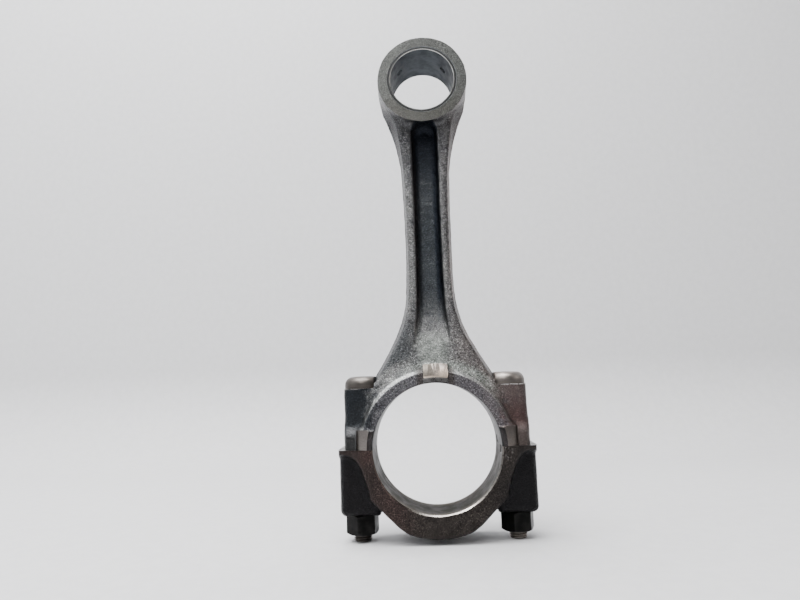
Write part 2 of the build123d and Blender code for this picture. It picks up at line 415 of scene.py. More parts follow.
def lathe(name, profile, centre, axis, materials, finish=None, closed=False, sides=128):
    """A turned shape: (radius, place along the axis) pairs swept round the axis."""
    turn = np.linspace(0, 2 * math.pi, sides, endpoint=False)
    if axis == "Y":
        across, upright, along = np.array([[1, 0, 0], [0, 0, 1], [0, 1, 0]], float)
    else:
        across, upright, along = np.array([[1, 0, 0], [0, 1, 0], [0, 0, 1]], float)
    spokes = np.cos(turn)[:, None] * across + np.sin(turn)[:, None] * upright
    rings = [np.array(centre) + radius * spokes + place * along for radius, place in profile]
    return skin(name, rings, closed, materials, finish)


def prism(name, outline, axis, low, high, material):
    """A straight bar along X or Y with an outline of (across, height) pairs."""
    order = {"X": (2, 0, 1), "Y": (0, 2, 1)}[axis]
    rings = [[np.array((a, b, place))[list(order)] for a, b in outline] for place in (low, high)]
    return skin(name, rings, False, [material])


def cut(piece, tools, operation="DIFFERENCE"):
    """Machine a piece. Its new faces keep the tools' materials, and the tools are used up."""
    for tool in tools:
        step = piece.modifiers.new("cut", "BOOLEAN")
        step.object = tool
        step.operation = operation
        step.solver = "MANIFOLD"
        step.material_mode = "TRANSFER"
    graph = bpy.context.evaluated_depsgraph_get()
    machined = bpy.data.meshes.new_from_object(piece.evaluated_get(graph))
    piece.modifiers.clear()
    piece.data = machined
    for tool in tools:
        bpy.data.objects.remove(tool)
    return piece


def finish_piece(piece, body, node, sharp=32):
    """Smooth shading between crisp machined edges, and the piece's ties to the frame."""
    piece.data.polygons.foreach_set("use_smooth", [True] * len(piece.data.polygons))
    piece.data.set_sharp_from_angle(angle=math.radians(sharp))
    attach(piece, body)
    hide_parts(node)


# ---------------------------------------------------------------- materials
class Finish:
    """A node material being built. Each call adds a node and returns its output socket."""

    def __init__(self, name, **fixed):
        self.material = bpy.data.materials.new(name)
        self.material.use_nodes = True
        self.nodes = self.material.node_tree.nodes
        self.links = self.material.node_tree.links
        self.shader = self.nodes["Principled BSDF"]
        for socket, value in fixed.items():
            self.shader.inputs[socket.replace("_", " ")].default_value = value
        place = self.add("ShaderNodeTexCoord", output="Object")
        self.place = self.add("ShaderNodeVectorMath", place, operation="SCALE",
                              named={"Scale": 1 / MM})
        self.x, self.y, self.z = self.split(self.place)

    def add(self, kind, *inputs, output=0, named=None, **settings):
        node = self.nodes.new(kind)
        for key, value in settings.items():
            setattr(node, key, value)
        for key, value in [*enumerate(inputs), *(named or {}).items()]:
            if isinstance(value, bpy.types.NodeSocket):
                self.links.new(value, node.inputs[key])
            elif value is not None:
                node.inputs[key].default_value = value
        return node.outputs[output]

    def split(self, vector):
        node = self.add("ShaderNodeSeparateXYZ", vector).node
        return node.outputs

    def maths(self, operation, *values):
        return self.add("ShaderNodeMath", *values, operation=operation)

    def product(self, *values):
        total = values[0]
        for value in values[1:]:
            total = self.maths("MULTIPLY", total, value)
        return total

    def distance(self, a, b):
        return self.maths("SQRT", self.maths("ADD", self.product(a, a), self.product(b, b)))

    def size(self, socket):
        return self.maths("ABSOLUTE", socket)

    def grains(self, size, detail=2.0, rough=0.5, stretch=(1, 1, 1), shift=0.0):
        """Noise from 0 to 1 whose grains are about size millimetres across."""
        place = self.add("ShaderNodeVectorMath", self.place, tuple(1 / s for s in stretch),
                         operation="MULTIPLY")
        if shift:
            place = self.add("ShaderNodeVectorMath", place, (shift, shift, shift), operation="ADD")
        return self.add("ShaderNodeTexNoise", place, None, 1 / size, detail, rough)

    def spread(self, value, low, high, out_low=0.0, out_high=1.0):
        """Value mapped smoothly from low..high to out_low..out_high, and held outside them."""
        return self.add("ShaderNodeMapRange", value, low, high, out_low, out_high,
                        interpolation_type="SMOOTHSTEP")

    def blend(self, share, first, second):
        """Colour or number between two, by share."""
        colour = not all(isinstance(v, (int, float)) or getattr(v, "type", "") == "VALUE"
                         for v in (first, second))
        if colour:
            first, second = ((*v, 1.0) if isinstance(v, tuple) else v for v in (first, second))
            return self.add("ShaderNodeMix", output=2, named={0: share, 6: first, 7: second},
                            data_type="RGBA")
        return self.add("ShaderNodeMix", output=0, named={0: share, 2: first, 3: second},
                        data_type="FLOAT")

    def close(self, colour, roughness, heights):
        """Wire up colour, roughness and a stack of (height, depth in mm) bumps."""
        self.links.new(colour, self.shader.inputs["Base Color"])
        self.links.new(roughness, self.shader.inputs["Roughness"])
        normal = None
        for height, depth in heights:
            normal = self.add("ShaderNodeBump", named={"Strength": 1.0, "Distance": depth * MM,
                                                       "Height": height, "Normal": normal})
        self.links.new(normal, self.shader.inputs["Normal"])
        return self.material


def forging(name, light, dark, masks, sparkle=1.0, relief=1.0):
    """Shot-blasted forged steel with a little rust in it, shade and light painted on by its masks, and
    glints painted into its colour as light specks.
    """
    f = Finish(name, Metallic=0.85, Specular_IOR_Level=0.4)
    patches = f.grains(14.0, 3.0, 0.6)
    blotches = f.grains(3.2, 3.0, 0.65, shift=9.1)
    pits = f.grains(0.8, 3.0, 0.7, shift=4.7)
    sparks = f.grains(0.48, 1.0, 0.5, shift=2.3)
    share = f.blend(0.45, f.spread(patches, 0.36, 0.64), f.spread(blotches, 0.34, 0.68))
    colour = f.blend(share, dark, light)
    for mask, tint in masks(f, patches, blotches):
        colour = f.blend(mask, colour, tint)
    # sparks lift random specks up to 2.6 times lighter as painted glints, weaker on the bosses and in
    # the channel; the pits darken it at random
    pits_and_glints = f.product(f.spread(pits, 0.34, 0.54, 0.35, 1.0), f.spread(sparks, 0.52, 0.68, 1.0, 2.6))
    glint_strength = f.product(f.spread(f.size(f.x), 27.0, 35.0, sparkle, 0.4 * sparkle),
                      f.spread(f.size(f.x), 5.0, 8.0, 0.55, 1.0))
    pits_and_glints = f.blend(glint_strength, 1.0, pits_and_glints)
    colour = f.add("ShaderNodeVectorMath", colour, operation="SCALE", named={"Scale": pits_and_glints})
    roughness = f.spread(blotches, 0.3, 0.7, 0.28, 0.42)
    return f.close(colour, roughness,
                   [(blotches, 0.32 * relief), (pits, 0.42 * relief), (sparks, 0.16 * relief)])


def rod_masks(f, patches, blotches):
    """Where the rod is brown, and where shade, light and highlights are painted on it, as (share,
    colour) pairs.
    """
    wide, deep = f.size(f.x), f.size(f.y)
    radius = f.distance(f.x, f.z)
    rough_edge = f.spread(blotches, 0.3, 0.7, -3.0, 3.0)

    # channels: painted shade, lighter on the floor, darker on the walls and nearly black at the top
    # under the eye
    above = f.maths("SUBTRACT", f.z, channel_top - channel_corner)
    arch = f.distance(f.x, f.maths("MAXIMUM", above, 0.0))
    width = f.maths("MAXIMUM", f.spread(arch, 6.9, 6.1),
                    f.product(f.spread(wide, 8.4, 6.1), f.spread(f.z, 82.0, 64.0)))
    under_eye = f.product(f.spread(f.z, 144.0, 148.0), f.spread(deep, 12.2, 11.6))
    inside = f.product(f.maths("MAXIMUM", f.spread(deep, 8.5, 5.5), under_eye), width)
    channel = f.product(inside, f.spread(f.z, 48.0, 72.0))
    channel_top_shade = f.product(inside, f.spread(f.z, 108.0, 144.0))
    left_wall_shade = f.product(inside, f.spread(f.z, 54.0, 72.0), f.spread(f.x, -2.6, -4.6))
    right_wall_shade = f.product(inside, f.spread(f.z, 54.0, 72.0), f.spread(f.x, 2.2, 4.0))
    marks = f.grains(1.5, 2.0, 0.6, stretch=(5.0, 1.0, 1.0), shift=31.0)
    scale_marks = f.product(channel, f.spread(marks, 0.56, 0.66), f.spread(deep, 3.6, 3.2),
                            f.spread(wide, 3.4, 2.2), f.spread(f.z, 104.0, 112.0))

    # painted shade on the shank towards the eye, deepest on its left
    shade_below_eye = f.product(f.spread(f.z, 118.0, 136.0), f.spread(f.z, 160.0, 152.0),
                     f.spread(deep, 12.2, 11.6), f.spread(f.x, -8.0, 8.0, 0.72, 0.42))

    # round the big end
    # a painted highlight along the ring's outer rim, fainter towards the right
    rim_highlight = f.product(f.spread(radius, 32.6, 33.2), f.spread(radius, 34.6, 34.0),
                           f.spread(f.x, 26.0, 6.0, 0.3, 1.0))
    # painted light: the swell outside the ring and the ramp above the top pad face upward and are drawn
    # lighter
    swell = f.product(f.spread(radius, 33.6, 34.8), f.spread(radius, 40.0, 36.5),
                      f.spread(wide, 30.0, 20.0), f.spread(f.x, -24.0, 4.0, 0.0, 1.0))
    ramp = f.product(f.spread(wide, 10.0, 3.0), f.spread(f.z, 57.0, 42.0))
    lit_swell_and_ramp = f.product(f.maths("MAXIMUM", swell, ramp), f.spread(deep, 5.2, 7.2),
                      f.spread(deep, 12.75, 12.3))
    edge = f.product(rim_highlight, f.spread(deep, 10.6, 11.4), 0.7)
    ring = f.product(f.spread(deep, 12.4, 12.75), f.spread(deep, 13.3, 13.0))
    off_pad = f.size(f.maths("SUBTRACT", f.x, top_pad_shift))
    # painted shade at both sides of the top pad
    shade_beside_pad = f.product(f.spread(off_pad, 5.3, 5.7), f.spread(off_pad, 9.6, 7.0),
                           f.spread(deep, 9.4, 10.6), f.spread(f.z, 24.0, 27.0),
                           f.spread(f.z, 36.2, 33.0))
    foot = f.product(f.spread(f.x, -7.5, -12.0), f.spread(radius, 38.5, 42.0), f.spread(f.z, 62.0, 50.0))

    # bolt bosses and their flange
    worn_x = f.maths("ADD", f.x, rough_edge)
    right = f.product(f.spread(f.x, 3.0, 22.0), f.spread(patches, 0.3, 0.6, 0.35, 1.0))
    boss_right = f.product(f.spread(worn_x, 26.0, 34.0), f.spread(f.z, 5.0, 11.0, 0.35, 0.9),
                           f.spread(f.z, 25.0, 13.0, 0.6, 1.0))
    boss_left = f.product(f.spread(worn_x, -20.0, -33.0), f.spread(f.z, 7.0, 11.0, 0.2, 0.92))
    flange = f.product(f.spread(wide, 34.0, 36.0), f.spread(f.z, 6.4, 5.2))
    # a painted highlight along the front edge of the bolt heads' seats, broken up by noise
    broken_highlight = f.spread(f.grains(1.6, 2.0, 0.6, shift=37.0), 0.44, 0.56)
    seat_edge_highlight = f.product(f.spread(wide, 28.0, 29.0), f.spread(f.z, 25.9, 26.3),
                          f.spread(f.z, 27.2, 26.7), f.spread(f.x, -10.0, 10.0, 0.25, 0.85), broken_highlight)

    # a warm brownish light painted on the shank's flanks where they face right
    facing = f.split(f.add("ShaderNodeTexCoord", output="Normal"))
    painted_flank_light = f.product(f.spread(facing[0], 0.45, 0.85), f.spread(wide, 7.0, 8.8, 0.25, 1.0),
                      f.spread(f.z, 34.0, 46.0), f.spread(f.z, 156.0, 140.0))
    painted_light_tone = f.blend(f.spread(blotches, 0.35, 0.65), (0.105, 0.114, 0.105), (0.20, 0.212, 0.198))
    flange_tone = f.blend(f.spread(f.x, -10.0, 10.0), (0.012, 0.012, 0.012), (0.05, 0.040, 0.036))
    return [
        (f.product(right, 0.32), (0.12, 0.075, 0.062)),
        (f.product(foot, 0.75), (0.040, 0.043, 0.046)),
        # painted shade below the eye
        (shade_below_eye, (0.030, 0.030, 0.032)),
        # painted light on the swell and the ramp
        (f.product(lit_swell_and_ramp, 0.8), painted_light_tone),
        (f.product(ring, 0.6), (0.060, 0.057, 0.066)),
        # painted highlight on the ring's rim
        (edge, (0.42, 0.43, 0.42)),
        (boss_right, (0.048, 0.028, 0.026)),
        (boss_left, (0.0085, 0.0105, 0.013)),
        (f.product(flange, 0.85), flange_tone),
        # painted shade beside the top pad
        (f.product(shade_beside_pad, 0.85), (0.035, 0.030, 0.028)),
        # painted shade in the channels, on their walls and at their top
        (f.product(channel, 0.82), (0.024, 0.029, 0.034)),
        (f.product(scale_marks, 0.6), (0.085, 0.09, 0.095)),
        (f.product(left_wall_shade, 0.8), (0.013, 0.015, 0.018)),
        (f.product(right_wall_shade, 0.88), (0.009, 0.012, 0.018)),
        (f.product(channel_top_shade, 0.85), (0.0085, 0.0105, 0.0155)),
        # painted warm light on the flanks facing right
        (f.product(painted_flank_light, f.spread(patches, 0.35, 0.65, 0.2, 0.6)), (0.18, 0.14, 0.13)),
        # painted highlight at the seats' edge
        (seat_edge_highlight, (0.45, 0.43, 0.42)),
    ]


def cap_masks(f, patches, blotches):
    """Painted shade makes the ears almost black and darkens the cap round them, and one joint corner has
    light scratches.
    """
    wide, deep = f.size(f.x), f.size(f.y)
    brown = f.spread(f.x, -4.0, -28.0)
    # painted shade on the ears and round them
    ears = f.product(f.spread(deep, 11.9, 10.6), f.spread(wide, 22.0, 25.0))
    shade_beside_ears = f.maths("MAXIMUM", f.product(f.spread(wide, 19.0, 29.0), f.spread(f.z, -3.0, -10.0)),
                          f.spread(wide, 30.0, 37.0))
    scratches = f.grains(0.7, 2.0, 0.7, stretch=(1.0, 1.0, 2.5), shift=51.0)
    corner = f.product(f.spread(f.x, 28.5, 29.5), f.spread(f.x, 34.0, 30.5), f.spread(f.z, -7.0, -3.0),
                       f.spread(scratches, 0.50, 0.62))
    return [
        (f.product(brown, 0.4), (0.062, 0.036, 0.033)),
        # painted shade round the ears and on them
        (f.product(shade_beside_ears, 0.6), (0.0135, 0.012, 0.0115)),
        (f.product(ears, 0.95), (0.0065, 0.0063, 0.007)),
        (f.product(corner, 0.35), (0.30, 0.285, 0.27)),
    ]


def faced_masks(f, patches, blotches):
    """The eye's face is a little browner underneath."""
    return [(f.product(f.spread(f.z, eye_centre, eye_centre - 18.0), 0.5), (0.070, 0.066, 0.058))]


def machined(name, colour, stain, along, pitch, rough, depth, seed, metal=0.95, glance=1.0, masks=None):
    """Metal cut by a tool: fine lines across one axis, with stains and scratches over them.

    Glance is how much the metal still reflects when it is seen at a low angle.
    """
    f = Finish(name, Metallic=metal, Specular_IOR_Level=0.5 * metal,
               Specular_Tint=(glance, glance, glance, 1.0))
    stretch = {"ring": (30.0, 1.0, 30.0), "flat": (14.0, 14.0, 1.0), "face": (1.0, 20.0, 1.0)}[along]
    lines = f.grains(pitch, 2.0, 0.6, stretch=stretch, shift=seed)
    stains = f.grains(5.0, 4.0, 0.6, shift=seed + 3.0)
    scratches = f.grains(0.5, 2.0, 0.6, stretch=(6.0, 1.0, 1.0), shift=seed + 7.0)
    tone = f.blend(f.spread(stains, 0.38, 0.66), colour, stain)
    for mask, tint in masks(f) if masks else ():
        tone = f.blend(mask, tone, tint)
    worn = f.spread(lines, 0.35, 0.7, 1.0, 0.8)
    tone = f.add("ShaderNodeVectorMath", tone, operation="SCALE", named={"Scale": worn})
    roughness = f.spread(stains, 0.3, 0.7, rough, rough + 0.16)
    return f.close(tone, roughness, [(lines, depth), (scratches, depth * 0.8), (stains, depth)])


def bevel_masks(f):
    """The cap's bevel carries a painted highlight underneath and to the right, greyer at its right end,
    and is rusty brown on the left.
    """
    return [(f.product(f.spread(f.x, -7.0, -16.0), 0.9), (0.085, 0.055, 0.048)),
            (f.product(f.spread(f.x, 16.0, 26.0), 0.7), (0.20, 0.19, 0.18))]


def bore_shade_masks(f):
    """The cap's bore is painted darker and browner towards its bottom, as shade inside the bore, and
    lighter near its mouths.
    """
    mouth = f.product(f.spread(f.size(f.y), 6.0, 11.5), f.spread(f.size(f.x), 26.0, 18.0))
    return [(f.product(f.spread(f.z, -8.0, -22.0), 0.75), (0.042, 0.037, 0.031)),
            (f.product(mouth, 0.8), (0.20, 0.18, 0.15))]


def strip_masks(f):
    """The flat of the top pad is drawn a little lighter than the flats at the joint."""
    return [(f.spread(f.z, 20.0, 24.0), (0.18, 0.175, 0.17))]


def facet_masks(f):
    """The top pad's facet is streaked, darker at its top left, with a coppery painted highlight at its
    lower right and along its lower edge.
    """
    top = f.spread(f.z, 24.0, 26.0)
    streaks = f.grains(0.8, 2.0, 0.6, stretch=(1.0, 1.0, 2.5), shift=41.0)
    slant = f.maths("ADD", f.x, f.product(streaks, 9.0))
    lower_edge = f.spread(f.distance(f.x, f.z), 31.4, 30.7)
    lower_right = f.product(f.spread(slant, 4.5, 7.5), f.spread(f.z, 35.5, 33.0))
    facet_highlight = f.product(top, f.maths("MAXIMUM", lower_edge, lower_right))
    dull = f.product(top, f.spread(slant, 6.0, 2.0))
    # on the side pads' facets, the left one is lighter, a painted reflection, and the right one darker,
    # painted shade
    right = f.spread(f.x, 26.0, 28.0)
    left = f.spread(f.x, -26.0, -28.0)
    return [(f.product(dull, 0.85), (0.075, 0.067, 0.056)), (f.product(facet_highlight, 0.8), (0.40, 0.33, 0.27)),
            (f.product(right, 0.7), (0.125, 0.11, 0.102)), (f.product(left, 0.7), (0.20, 0.183, 0.175))]


def head_masks(f):
    """The left bolt is darker, and both heads are darker round their foot, a painted dark reflection."""
    # painted dark reflection round the foot of each head
    foot = f.product(f.spread(f.z, 30.2, 27.4), f.spread(f.z, 20.0, 24.0))
    return [(f.product(f.spread(f.x, 10.0, -10.0), 0.85), (0.078, 0.070, 0.064)),
            (f.product(foot, 0.6), (0.075, 0.066, 0.060))]


forged = forging("forged_steel", (0.135, 0.135, 0.132), (0.055, 0.055, 0.058), rod_masks)
# the cap's forging is a much darker copy of the forged steel: painted shade for the cap low down by the
# floor
forged_shaded = forging("forged_steel_dark", (0.034, 0.029, 0.026), (0.015, 0.0125, 0.0115), cap_masks)
bored = machined("bored_steel", (0.20, 0.198, 0.2), (0.14, 0.135, 0.135), "ring",
                 pitch=0.25, rough=0.32, depth=0.006, seed=1.0, metal=0.75, glance=0.5)
# a darker copy of the bored steel for the cap's bore: painted shade
bored_shaded = machined("bored_steel_painted_shade", (0.10, 0.093, 0.087), (0.05, 0.046, 0.041), "ring",
                      pitch=0.25, rough=0.28, depth=0.006, seed=33.0, glance=0.42, masks=bore_shade_masks)
# the cap's bore chamfers are drawn very light: a painted highlight where they face up
chamfer_highlight = machined("chamfer_painted_highlight", (0.60, 0.56, 0.51), (0.42, 0.38, 0.34), "face",
                    pitch=0.5, rough=0.2, depth=0.004, seed=2.0, masks=bevel_masks)
turned = machined("turned_steel", (0.18, 0.16, 0.142), (0.125, 0.108, 0.095), "face",
                  pitch=0.5, rough=0.28, depth=0.03, seed=5.0, masks=facet_masks)
# the turned flats beside the bore are drawn dark: a painted dark reflection
strip = machined("thrust_strip", (0.05, 0.046, 0.046), (0.028, 0.024, 0.024), "face",
                 pitch=0.5, rough=0.22, depth=0.01, seed=6.0, masks=strip_masks)
# the rod's bore chamfers are drawn almost black, painted shade where they face down
chamfer_shade = machined("chamfer_painted_shade", (0.016, 0.015, 0.016), (0.010, 0.010, 0.010), "face",
                 pitch=0.5, rough=0.5, depth=0.01, seed=45.0, metal=0.2)
faced = forging("faced_steel", (0.088, 0.091, 0.087), (0.064, 0.065, 0.062), faced_masks,
                sparkle=0.6, relief=0.3)
milled = machined("milled_steel", (0.30, 0.30, 0.29), (0.14, 0.13, 0.12), "flat",
                  pitch=0.4, rough=0.3, depth=0.02, seed=11.0)
drilled = machined("drilled_steel", (0.20, 0.21, 0.22), (0.15, 0.158, 0.165), "flat",
                   pitch=0.3, rough=0.4, depth=0.02, seed=13.0)
browned = machined("bolt_steel", (0.29, 0.264, 0.243), (0.22, 0.195, 0.178), "flat",
                   pitch=0.9, rough=0.33, depth=0.004, seed=15.0, masks=head_masks)
blackened = machined("nut_steel", (0.012, 0.0115, 0.011), (0.005, 0.005, 0.005), "flat",
                     pitch=0.6, rough=0.36, depth=0.012, seed=19.0)
bushed = machined("bush_metal", (0.060, 0.066, 0.073), (0.045, 0.050, 0.056), "ring",
                  pitch=0.2, rough=0.34, depth=0.003, seed=23.0, glance=0.6)
bush_face = machined("bush_face", (0.060, 0.061, 0.060), (0.045, 0.045, 0.045), "face",
                     pitch=0.5, rough=0.35, depth=0.01, seed=25.0)
bush_edge = machined("bush_edge", (0.44, 0.44, 0.42), (0.32, 0.32, 0.31), "face",
                     pitch=0.5, rough=0.25, depth=0.004, seed=27.0)


# ---------------------------------------------------------------- cutters
def bore_cutter(bevel, face, wall, mouth_finish):
    """The boring bar's path through the big end, with a bevelled mouth at each face."""
    across, along = bevel
    mouth = face - along
    past = pad_half_width + 2.0
    flare = bore_radius + (past - mouth) * across / along
    profile = [(flare, -past), (bore_radius, -mouth), (bore_radius, mouth), (flare, past)]
    return lathe("bore_cutter", profile, (0, 0, 0), "Y", [wall, mouth_finish], [1, 0, 1, 1], sides=192)


def joint_cutter(side):
    """Everything on one side of the parting line."""
    reach = ear_reach + 4
    outline = [(-reach, 0), (reach, 0), (reach, side * 60), (-reach, side * 60)]
    return prism("joint_cutter", outline, "Y", -20, 20, milled)


def pad_cutters(front):
    """The turned thrust face, one cut for each pad: flat by the bore, then falling in a cone."""
    cone_foot = pad_half_width - pad_cone_drop
    profile = [(bore_radius - 3, pad_half_width), (pad_flat_radius, pad_half_width),
               (pad_outer_radius, cone_foot), (pad_outer_radius, pad_half_width + 3),
               (bore_radius - 3, pad_half_width + 3)]
    profile = [(radius, front * place) for radius, place in profile]
    left, right = (top_pad_shift + side * (top_pad_half_width + top_window_margin) for side in (-1, 1))
    tallest = side_pad_height + side_window_margin
    windows = [
        [(left, 10), (right, 10), (right, 60), (left, 60)],
        [(20, -1), (side_pad_reach, -1), (side_pad_reach, tallest), (20, tallest)],
        [(-side_pad_reach, -1), (-20, -1), (-20, tallest), (-side_pad_reach, tallest)],
    ]
    cutters = []
    for window in windows:
        tool = lathe("pad_cutter", profile, (0, 0, 0), "Y", [strip, turned], [0, 1, 1, 0, 0],
                     closed=True, sides=192)
        cutters.append(cut(tool, [prism("window", window, "Y", -40, 40, turned)], "INTERSECT"))
    return cutters


def seat_cutter(side):
    """The milled seat for a bolt's head, with a rounded root where it stops against the shank."""
    stop = head_flat - seat_margin
    angles = np.linspace(math.pi, 1.5 * math.pi, 6)
    root = [(stop + seat_root * (1 + math.cos(a)), seat_height + seat_root * (1 + math.sin(a)))
            for a in angles]
    outside = boss_reach + 5
    outline = [(stop, seat_cut_top), *root, (outside, seat_height), (outside, seat_cut_top)]
    return prism("seat_cutter", [(side * x, z) for x, z in outline], "Y",
                 -seat_half_depth, seat_half_depth, milled)


def drill(name, centre, direction, radius, low, high, sink=0.0):
    """A drilled hole from low to high along a direction, with a countersink at its far end."""
    profile = [(radius, low), (radius, high - sink), (radius + sink, high), (radius + sink, high + 3)]
    tool = lathe(name, profile, (0, 0, 0), "Z", [drilled], sides=48)
    turn = Vector((0, 0, 1)).rotation_difference(Vector(direction)).to_matrix().to_4x4()
    tool.data.transform(Matrix.Translation(Vector(centre) * MM) @ turn)
    return tool


def notch_cutter(front):
    """The slot for a bearing shell's tang, milled with a round cutter."""
    middle = (bore_radius + notch_depth - notch_radius, front * pad_half_width / 2, 0)
    profile = [(notch_radius, -notch_width / 2), (notch_radius, notch_width / 2)]
    return lathe("notch_cutter", profile, middle, "Y", [milled], sides=64)


def oil_drills(low):
    """Both oil holes, drilled from the eye's top towards the pin."""
    across, up = math.sin(oil_hole_angle), math.cos(oil_hole_angle)
    return [drill("oil_drill", (0, 0, eye_centre), (side * across, 0, up), oil_hole_radius,
                  low, eye_radius - 0.4, 0.7) for side in (-1, 1)]


# ---------------------------------------------------------------- rod body
# a little stock is left on the pads and at the parting line for the cutters to take off
rod = cast("rod_forging", rod_field, (rod_low.x, rod_low.y - 1, -3.0),
           (rod_high.x, rod_high.y + 1, rod_high.z), forged, 100)
facing = [
    lathe("facing_cutter", [(24.0, side * small_half_width), (24.0, side * (small_half_width + 3))],
          (0, 0, eye_centre), "Y", [faced], sides=96)
    for side in (-1, 1)
]
eye_mouth = small_half_width - 0.2
eye_flare = eye_bore_radius + 3.2
eye_profile = [(eye_flare, -eye_mouth - 3.2), (eye_bore_radius, -eye_mouth),
               (eye_bore_radius, eye_mouth), (eye_flare, eye_mouth + 3.2)]
eye_bore = lathe("eye_cutter", eye_profile, (0, 0, eye_centre), "Y", [drilled], sides=128)
cut(rod, [
    joint_cutter(-1),
    *facing,
    eye_bore,
    *pad_cutters(-1),
    *pad_cutters(1),
    # the rod's bore chamfers take the painted shade
    bore_cutter(rod_bore_bevel, pad_half_width, bored, chamfer_shade),
    *(seat_cutter(side) for side in (-1, 1)),
    *(drill("bolt_drill", (side * bolt_offset, 0, 0), (0, 0, 1), bolt_radius + hole_clearance / 2,
            -5, seat_height + 0.3, 0.3) for side in (-1, 1)),
    *oil_drills(0.0),
    notch_cutter(1),
])
finish_piece(rod, "rod", "rod_body")

# ---------------------------------------------------------------- bearing cap
# the cap takes the darker copy of the forged steel, painted shade
cap = cast("cap_forging", cap_field, cap_low, (cap_high.x, cap_high.y, 3.0), forged_shaded, 300)
cut(cap, [
    joint_cutter(1),
    # the cap's bore takes the painted shade copy of the bored steel, and its chamfers the painted
    # highlight
    bore_cutter(cap_bore_bevel, ring_half_width, bored_shaded, chamfer_highlight),
    *(lathe("spot_cutter", [(9.2, -ear_height), (9.2, -ear_height - 5)],
            (side * bolt_offset, 0, 0), "Z", [milled], sides=64) for side in (-1, 1)),
    *(drill("bolt_drill", (side * bolt_offset, 0, 0), (0, 0, -1), bolt_radius + hole_clearance,
            -5, ear_height + 0.4, 0.4) for side in (-1, 1)),
    notch_cutter(-1),
])
finish_piece(cap, "cap", "bearing_cap")


# ---------------------------------------------------------------- fasteners
def thread_radius(turn, height, crest, start, end):
    """Radius of a right-handed screw thread, fading out towards its two ends."""
    phase = (height / thread_pitch - turn / (2 * math.pi)) % 1.0
    ridge = np.clip(1.25 - np.abs(phase - 0.5) * 2.5, 0, 1)
    fade = np.clip((height - start) / thread_fade, 0, 1) * np.clip((end - height) / thread_fade, 0, 1)
    return crest - thread_depth * (1 - ridge) * fade


def bolt_rings(side):
    """Rings up a bolt: threaded end, plain shank, then a domed head cut straight on one side."""
    columns = 96
    turn = np.linspace(0, 2 * math.pi, columns, endpoint=False)
    spokes = np.stack([np.cos(turn), np.sin(turn), np.zeros(columns)], 1)
    axis = np.array([side * bolt_offset, 0, 0])
    rings = []

    def ring(radius, height, centre=axis):
        rings.append(centre + np.asarray(radius).reshape(-1, 1) * spokes + (0, 0, height))

    body = bolt_radius - CLEAR
    ring(body - 1.0, -bolt_end)
    ring(body - 0.8, -bolt_end)
    thread_start = -bolt_end + 0.7
    thread_end = -bolt_end + thread_top
    for height in np.arange(thread_start, thread_end, thread_pitch / 10):
        ring(thread_radius(turn, height, body, thread_start - 1.0, thread_end), height)
    for height in (thread_end, -5.0, 5.0, seat_height - 1.0, seat_height):
        ring(body, height)
    centre = np.array([side * (bolt_high.x - head_radius), 0, 0])
    stop = (bolt_high.x - head_radius) - head_flat
    inward = -side * np.cos(turn)
    across, up = dome_round
    head_height = bolt_top - seat_height
    dome = [(0.0, CLEAR), (0.0, 0.4), (CLEAR, dome_straight)]
    dome += [(CLEAR + across * (1 - math.cos(a)), dome_straight + up * math.sin(a))
             for a in np.linspace(0.12, math.pi / 2, 12)]
    dome += [(5.0, head_height - 0.1), (7.0, head_height - CLEAR)]
    head = []
    for inset, height in dome:
        radius = head_radius - inset
        reach = np.where(inward * radius > stop - CLEAR, stop / np.maximum(inward, 0.05), radius)
        head.append((np.minimum(reach, radius), seat_height + height))
    for radius, height in head:
        ring(radius, height, centre)
    return rings


def nut_rings(side, turned_by):
    """Closed loop of rings round a nut's section: hexagon outside, thread inside."""
    columns = 120
    turn = np.linspace(0, 2 * math.pi, columns, endpoint=False)
    spokes = np.stack([np.cos(turn), np.sin(turn), np.zeros(columns)], 1)
    sector = (turn - turned_by + math.pi / 6) % (math.pi / 3) - math.pi / 6
    hexagon = nut_half_flats / np.cos(sector)
    axis = np.array([side * bolt_offset, 0, 0])
    top = -ear_height
    bottom = top - nut_height
    corner_cone = math.tan(math.radians(30))
    rings = []

    def ring(radius, height):
        rings.append(axis + np.broadcast_to(radius, (columns,)).reshape(-1, 1) * spokes + (0, 0, height))

    crest = bolt_radius + thread_clearance
    face = nut_half_flats * nut_face
    for depth in np.linspace(0, 1.0, 8):
        ring(np.minimum(hexagon, face + depth / corner_cone), top - depth)
    for depth in np.linspace(1.0, 0, 8):
        ring(np.minimum(hexagon, face + depth / corner_cone), bottom + depth)
    ring(crest + nut_chamfer, bottom)
    for height in np.arange(bottom + nut_chamfer, top - nut_chamfer, thread_pitch / 10):
        ring(thread_radius(turn, height, crest, bottom, top), height)
    ring(crest, top - nut_chamfer)
    ring(crest + nut_chamfer, top)
    return rings


# how far each nut's flats are turned from facing +X
nut_turns = {"left": math.radians(-10), "right": math.radians(42)}
for name, side in (("left", -1), ("right", 1)):
    bolt = skin(f"bolt_{name}_turned", bolt_rings(side), False, [browned])
    finish_piece(bolt, "rod", f"bolt_{name}", sharp=38)
    nut = skin(f"nut_{name}_hexagon", nut_rings(side, nut_turns[name]), True, [blackened])
    finish_piece(nut, f"{name}_nut", f"nut_{name}", sharp=24)

